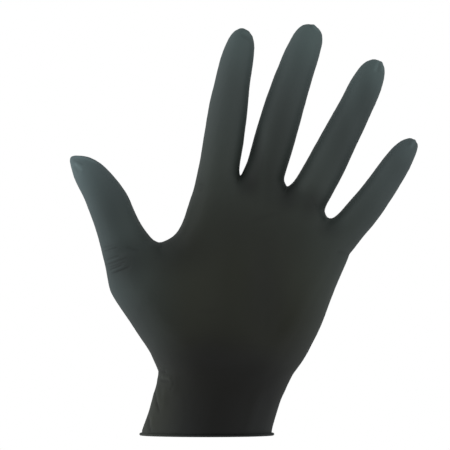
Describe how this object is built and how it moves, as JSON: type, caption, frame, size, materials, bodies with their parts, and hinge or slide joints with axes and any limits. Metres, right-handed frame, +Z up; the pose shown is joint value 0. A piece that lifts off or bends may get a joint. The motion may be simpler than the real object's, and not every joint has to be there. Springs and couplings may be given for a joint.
{
  "type": "exam glove",
  "caption": "Thin black nitrile exam glove, hollow and open at a cuff with a rolled bead, in the form it takes on an open hand held up with the palm forward.",
  "frame": {"origin": "middle of the cuff's opening, level with the lowest point of the rolled bead", "axes": "+Z up from the cuff to the fingers, the palm faces -Y, the thumb points to -X and the little finger to +X"},
  "size_m": [0.1795, 0.061, 0.2128],
  "materials": {
    "nitrile": "matte"
  },
  "bodies": {
    "root": {"glove": "nitrile"}
  },
  "joints": []
}
